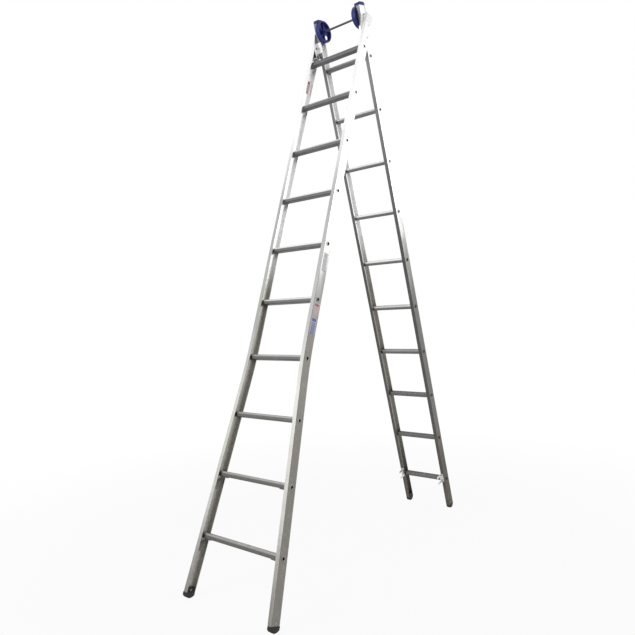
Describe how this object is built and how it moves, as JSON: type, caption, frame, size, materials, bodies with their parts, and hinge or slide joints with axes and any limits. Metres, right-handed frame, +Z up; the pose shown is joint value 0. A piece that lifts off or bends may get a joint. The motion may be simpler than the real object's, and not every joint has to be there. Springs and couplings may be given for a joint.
{
  "type": "extension ladder",
  "caption": "Two-section aluminium extension ladder standing open as an A-frame, with pivoting guides, plastic heads on a tie rod, braced flared base and rubber feet.",
  "frame": {"origin": "on the floor, under the middle of the open ladder's box", "axes": "+X across the ladder along its rungs to the right, +Y from the base section's feet to the fly section's feet, +Z up"},
  "size_m": [0.5464, 1.7912, 2.8902],
  "materials": {
    "stile_aluminium": "mill finish, drawn along the length",
    "rung_aluminium": "mill finish, fluted tread",
    "rivet_aluminium": "bright",
    "zinc_steel": "zinc plated",
    "guide_steel": "zinc plated",
    "dark_steel": "dull",
    "head_plastic": "moulded, slight sheen",
    "foot_rubber": "moulded, matt"
  },
  "bodies": {
    "base": {"base_stile_left": "stile_aluminium", "base_stile_right": "stile_aluminium", "base_rung_1": "rung_aluminium", "base_rung_2": "rung_aluminium", "base_rung_3": "rung_aluminium", "base_rung_4": "rung_aluminium", "base_rung_5": "rung_aluminium", "base_rung_6": "rung_aluminium", "base_rung_7": "rung_aluminium", "base_rung_8": "rung_aluminium", "base_rung_9": "rung_aluminium", "base_rung_10": "rung_aluminium", "brace_9_left": "zinc_steel", "brace_9_right": "zinc_steel", "brace_10_left": "zinc_steel", "brace_10_right": "zinc_steel", "brace_rivets": "zinc_steel", "base_foot_left": "foot_rubber", "base_foot_right": "foot_rubber", "base_foot_rivets": "rivet_aluminium", "head_bracket_left": "zinc_steel", "head_bracket_right": "zinc_steel", "head_bracket_rivets": "zinc_steel", "pivot_bolts": "zinc_steel", "pivot_spacers": "zinc_steel", "pivot_nuts": "dark_steel"},
    "guides": {"guide_left": "guide_steel", "guide_right": "guide_steel", "stop_pins": "dark_steel"},
    "fly": {"fly_stile_left": "stile_aluminium", "fly_stile_right": "stile_aluminium", "fly_rung_1": "rung_aluminium", "fly_rung_2": "rung_aluminium", "fly_rung_3": "rung_aluminium", "fly_rung_4": "rung_aluminium", "fly_rung_5": "rung_aluminium", "fly_rung_6": "rung_aluminium", "fly_rung_7": "rung_aluminium", "fly_rung_8": "rung_aluminium", "fly_rung_9": "rung_aluminium", "fly_rung_10": "rung_aluminium", "head_left": "head_plastic", "head_right": "head_plastic", "tie_rod": "dark_steel", "hook_left": "zinc_steel", "hook_right": "zinc_steel", "hook_rivets": "zinc_steel", "fly_foot_left": "foot_rubber", "fly_foot_right": "foot_rubber", "fly_foot_rivets": "rivet_aluminium"}
  },
  "joints": [
    {"name": "fold", "type": "hinge", "parent": "base", "child": "guides", "pos_m": [0, 0.09114, 2.68949], "axis": [-1, 0, 0], "range_deg": [0, 34.94]},
    {"name": "extension", "type": "slide", "parent": "guides", "child": "fly", "axis": [0, -0.2663, 0.9639], "range_m": [0, 1.96]}
  ]
}
